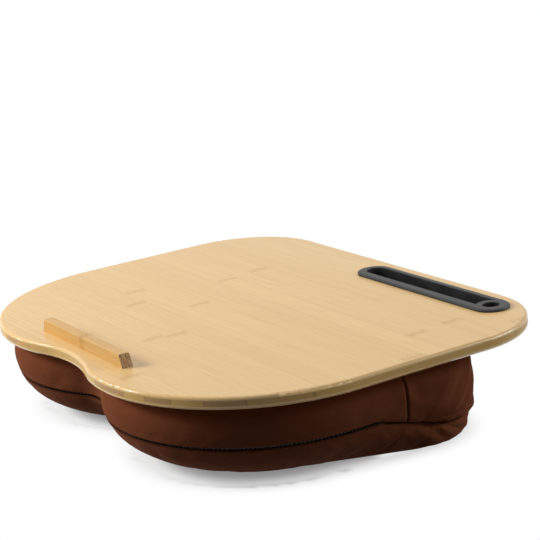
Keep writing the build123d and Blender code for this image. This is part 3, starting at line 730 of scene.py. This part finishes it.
def grid_faces(count_rows, count_columns):
    """Quads of a tube, and the fans that close it on the two poles that follow its points."""
    quads = tube_quads(count_rows, count_columns).tolist()
    top, bottom = count_rows * count_columns, count_rows * count_columns + 1
    ring = np.arange(count_columns)
    last = (count_rows - 1) * count_columns
    fans = [[top, i, (i + 1) % count_columns] for i in ring.tolist()]
    fans += [[last + i, bottom, last + (i + 1) % count_columns] for i in ring.tolist()]
    return quads + fans


def with_poles(points):
    """Points of a grid row by row, then the middle of its first row and of its last."""
    flat = points.reshape(-1, 3)
    return np.concatenate([flat, [points[0].mean(0)], [points[-1].mean(0)]])


def stuffed_shift(base):
    """Blow the plain cushion up with the cloth solver, held along its seams, top and base, and give
    how far each grid point moves outward in mm. The solver runs on every second station and on part
    of the rows, with the zipper's pocket drawn together to one seam row."""
    normals = grid_normals(base)
    columns = np.arange(0, len(PART), 2)
    keep = [i for i, kind in enumerate(KIND) if kind in ("top", "shoulder", "base")]
    keep += [i for i, kind in enumerate(KIND) if kind == "upper"][::2]
    keep += [i for i, kind in enumerate(KIND) if kind == "floor"][1:2]
    keep += [i for i, kind in enumerate(KIND) if kind == "lower"][::2]
    keep = np.array(sorted(keep))
    coarse = base[np.ix_(keep, columns)].copy()
    seam_row = int(np.flatnonzero(KIND[keep] == "floor")[0])
    x, y = plan(inset_at(seam_height) + 1.0)
    coarse[seam_row] = np.stack([x, y, seam_height], axis=-1)[columns]
    cushion = new_piece("stuffing_trial", with_poles(coarse) * MM, grid_faces(*coarse.shape[:2]))
    held = np.zeros(coarse.shape[:2])
    held[np.isin(KIND[keep], ["top", "base", "floor"])] = 1.0
    upright = (np.abs(waist_y[columns] - BAND_JOINT) < 1.0) & (PART[columns] == SIDE)
    held[:, upright] = 1.0
    group = cushion.vertex_groups.new(name="held")
    pinned = np.append(held.ravel(), [1.0, 1.0])
    group.add(np.flatnonzero(pinned > 0).tolist(), 1.0, "REPLACE")
    cloth = cushion.modifiers.new("stuffing", "CLOTH")
    for setting, value in CLOTH.items():
        setattr(cloth.settings, setting, value)
    cloth.settings.effector_weights.gravity = 0.0
    cloth.point_cache.frame_start, cloth.point_cache.frame_end = 1, CLOTH_FRAMES
    for number in range(1, CLOTH_FRAMES + 1):
        bpy.context.scene.frame_set(number)
    solved = cushion.evaluated_get(bpy.context.evaluated_depsgraph_get()).to_mesh()
    found = np.zeros(len(solved.vertices) * 3)
    solved.vertices.foreach_get("co", found)
    bpy.context.scene.frame_set(1)
    moved = found.reshape(-1, 3)[:-2].reshape(coarse.shape) / MM - coarse
    outward = np.einsum("rcx,rcx->rc", moved, normals[np.ix_(keep, columns)])
    bpy.data.objects.remove(cushion)
    outward = np.clip(outward, SHIFT_LEAST, SHIFT_MOST)
    tall = np.stack([np.interp(SHEET, SHEET[keep], line) for line in outward.T], axis=1)
    wide = np.append(tall, tall[:, :1], axis=1)
    places = np.append(walk[columns], whole_walk)
    return np.stack([np.interp(walk, places, line) for line in wide])


def swell(shift, height, bulge):
    """Scale the stuffing's shift down, and add full corners, puckers, folds and seams to it."""
    rear = fade(waist_y, -10.0, 60.0)
    corner = bell(half_walk, CORNER_REACH, CORNER_PLACE)
    from_seam = np.abs(height - seam_height)
    shift = shift * (KEPT_FRONT + KEPT_REAR * rear) + bulge
    # Puckers run off the seams and die away
    ripple = np.sin(walk / 4.1 + 1.7 * np.sin(walk / 31.0)) * (0.6 + 0.4 * np.sin(walk / 13.0 + 2.0))
    pucker = PUCKER_FRONT + PUCKER_REAR * rear
    shift = shift + pucker * ripple * np.exp(-from_seam / PUCKER_REACH)
    # Slack folds fan out under the board at the back corners
    for place, slope, width, level, size in FOLDS:
        track = half_walk - place - slope * (height - WAIST)
        shift = shift + size * bell(track, width) * bell(height, FOLD_TALL, level)
    # The upright seams and the rear seam pull in, and the panel below the rear seam is tucked under
    above = fade(height - seam_height, -0.5, 0.5)
    hang = above * (1 + corner)
    shift = shift - UPRIGHT_PULL * bell(beside, UPRIGHT_WIDE) * above
    shift = shift - (1 - zipped) * (SEAM_PULL - SEAM_EASED * hang) * bell(from_seam, SEAM_WIDE)
    return shift - TUCK * corner * (1 - above) * bell(from_seam, TUCK_REACH)


def make_cushion():
    """Stuff the cushion and sew it. The lips of the zipper stay where the chain is, the top stays
    under the board and the base stays flat."""
    base = cushion_base()
    normals = grid_normals(base)
    height = base[..., 2]
    shift = stuffed_shift(base)
    side_rows, lips = is_kind("shoulder", "upper", "lower"), is_kind(*POCKET_ROWS)
    # The cover is fuller round the back corners than the plain form
    corner = bell(half_walk, CORNER_REACH, CORNER_PLACE)
    low, high = (size * bell(height, width, level) for size, width, level in BULGES)
    bulge = corner * (low + high)
    shift = np.where(side_rows, swell(shift, height, bulge), 0.0)
    # A hollow past the zipper's open end leaves room for the pull when it is laid back
    hollow = (SIGN < 0) * fade(on_side, 9.5, 12.5) * bell(on_side, HOLLOW_LONG, HOLLOW_Y)
    hollow = HOLLOW * hollow * bell(height, HOLLOW_TALL, ZIP_Z)
    from_seam = np.abs(height - seam_height)
    slack = 1 - zipped * bell(from_seam - half_gap, 4.0)
    hold = np.where(is_kind("upper", "lower"), slack, 1.0)
    hold = hold * fade(height, 0.0, 5.0) * (1 - fade(height, 60.0, TOP))
    outward = np.where(lips, 0.0, shift * hold) - hollow * side_rows
    points = base + normals * outward[..., None]
    # The seam past the zipper follows the cover's face, a little behind it
    flat_out = np.stack([normals[..., 0], normals[..., 1], 0 * height], axis=-1)
    rear_out = bulge - (1 - zipped) * SEAM_BEHIND - hollow
    lip_row = int(np.flatnonzero(KIND == "upper")[-1])
    points = points + np.where(lips, rear_out, 0.0)[..., None] * flat_out[lip_row]
    cushion = new_piece("cushion_cover", with_poles(points) * MM, grid_faces(*points.shape[:2]))
    # Painted shade for the cover's colour: full over the zipper's lips, fading off the rear seam and
    # the upright seams, where the cloth pulls in
    above = fade(height - seam_height, -0.5, 0.5)
    shade = bell(from_seam, 1.3) * (1 - zipped) + bell(beside, 0.9) * above
    shade = np.clip(np.where(lips, 1.0, np.where(side_rows, shade, 0.0)), 0, 1)
    set_shade(cushion, "painted_seam_shade", np.append(shade.ravel(), [0.0, 0.0]))
    return cushion


# Zipper tapes and fixing pads


def chain_path():
    """Walk the chain's line round the front, from past its left-hand end to past its right-hand."""
    x, y = plan(np.full(len(PART), CHAIN_INSET))
    order = np.argsort(np.where(SIGN > 0, walk, walk - whole_walk))
    order = order[(PART[order] <= SIDE)]
    x, y = x[order], y[order]
    inside = (y <= zip_end[order] + TAPE_PAST) | (PART[order] <= LOBE)
    return x[inside], y[inside]


def make_tape(name, side):
    """A woven strip whose closed section is carried along the chain: edge bead, flat, bend and tail.
    Side 1 is the upper tape and -1 the lower."""
    x, y = chain_path()
    run = np.concatenate([[0], np.cumsum(np.hypot(np.diff(x), np.diff(y)))])
    ahead = np.stack([np.gradient(x), np.gradient(y)], axis=-1)
    ahead /= np.linalg.norm(ahead, axis=-1, keepdims=True)
    out = np.stack([ahead[:, 1], -ahead[:, 0]], axis=-1)
    open_here = np.where(x < -LOBE_X, np.clip((y - LOBE_Y) / PART_RAMP, 0, 1), 0.0)
    edge = TAPE_EDGE + PARTED * open_here
    # The tail bends back behind the cover's lip
    lip_inset = inset_at(np.array(ZIP_Z + side * TAPE_TOP))
    tail_shift = float(CHAIN_INSET - TAPE / 2 - lip_inset - 1.9 - 0.7 * (side < 0))
    # The section, point by point: share of the width, side of the cloth, and bulge of the bead
    share = np.array([0.0, 0.05, 0.35, 0.7, 0.97, 1.0, 0.97, 0.7, 0.35, 0.05])
    face = np.array([0.0, 1, 1, 1, 1, 0, -1, -1, -1, -1]) * TAPE / 2
    bulk = np.array([0.0, 0.25, 0, 0, 0, 0, 0, 0, 0, -0.25])
    rise = edge[:, None] + (TAPE_TOP - edge)[:, None] * share
    lean = tail_shift * np.clip((rise - TAPE_FLAT) / (TAPE_TOP - TAPE_FLAT), 0, 1)
    across = face * (1 + np.abs(bulk)) + lean * 0.9
    points = np.stack([
        x[:, None] + out[:, :1] * across, y[:, None] + out[:, 1:] * across, ZIP_Z + side * rise,
    ], axis=-1)
    count, ring = points.shape[:2]
    faces = tube_quads(count, ring)[:, ::side].tolist()
    faces.append(list(range(ring))[::side])
    faces.append(list(range((count - 1) * ring, count * ring))[::-side])
    tape = new_piece(name, points * MM, faces)
    along = np.repeat(run, ring)
    lay_cloth(tape, np.stack([along, np.broadcast_to(rise, (count, ring)).ravel()], axis=-1))
    return tape


def make_pads(name, low, high):
    """Four thin pads, each a rounded rectangle (a superellipse of power 8) with eased edges."""
    turn = np.linspace(0, 2 * math.pi, 64, endpoint=False)
    c, s = np.cos(turn), np.sin(turn)
    ex = PAD_HALF_X * np.sign(c) * np.abs(c) ** 0.25
    ey = PAD_HALF_Y * np.sign(s) * np.abs(s) ** 0.25
    # Scale and height of each ring, from the middle of the upper face down to that of the lower
    ease = 0.25
    levels = [
        (0.5, high), (0.97, high), (1.0, high - ease), (1.0, low + ease), (0.97, low), (0.5, low),
    ]
    points, faces = [], []
    for cx in PADS_X:
        for cy in PADS_Y:
            ring = np.stack([
                np.stack([cx + ex * k, cy + ey * k, 0 * ex + z], axis=-1) for k, z in levels
            ])
            start = len(points)
            points += with_poles(ring).tolist()
            faces += [[start + i for i in face] for face in grid_faces(*ring.shape[:2])]
    points = np.array(points)
    pads = new_piece(name, points * MM, faces, smooth=False)
    lay_cloth(pads, points[:, :2])
    return pads


# Scene

place_camera()
lay_floor(*plan(np.full(len(PART), FOOT_INSET), np.full(len(PART), FOOT_REAR)))
hang_sky()
for name, settings in BOXES.items():
    lamp(name, *settings)

face, core = face_bamboo(), core_bamboo()
wear("board_top_ply", face)
wear("board_bottom_ply", face)
wear("board_core_ply", core)
wear("laptop_stop", stop_bamboo())
wear("stop_screws", screw_steel())
wear("device_insert", moulded_plastic())
teeth = nylon_teeth()
wear("zipper_teeth_upper", teeth)
wear("zipper_teeth_lower", teeth)
metal = enamel("dark_brown_enamel", (0.020, 0.011, 0.008), (0.09, 0.06, 0.045), 0.5)
for name in ("zipper_bottom_stop", "zipper_top_stops", "zipper_slider", "zipper_pull"):
    wear(name, metal)

cushion = make_cushion()
cushion.data.materials.append(microfibre())
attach(cushion, "tray")
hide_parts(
    "cover_top_panel", "cover_front_band", "cover_rear_band", "cover_bottom_panel",
    "inner_bag", "cushion_filling",
)

tape_weave = woven_tape("brown_zipper_tape", (0.060, 0.022, 0.012), (0.022, 0.009, 0.005), 0.55)
for name, side in (("zipper_tape_upper", 1), ("zipper_tape_lower", -1)):
    tape = make_tape(name + "_woven", side)
    tape.data.materials.append(tape_weave)
    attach(tape, "tray")
    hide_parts(name)

pad_weave = woven_tape("black_hook_and_loop", (0.03, 0.03, 0.03), (0.008, 0.008, 0.008), 1.2)
for name, low, high in (("hook_patches", PAD_JOINT, BOARD_BOTTOM), ("loop_patches", TOP, PAD_JOINT)):
    pads = make_pads(name + "_sewn", low, high)
    pads.data.materials.append(pad_weave)
    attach(pads, "tray")
    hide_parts(name)

bpy.context.scene.view_settings.view_transform = "Standard"
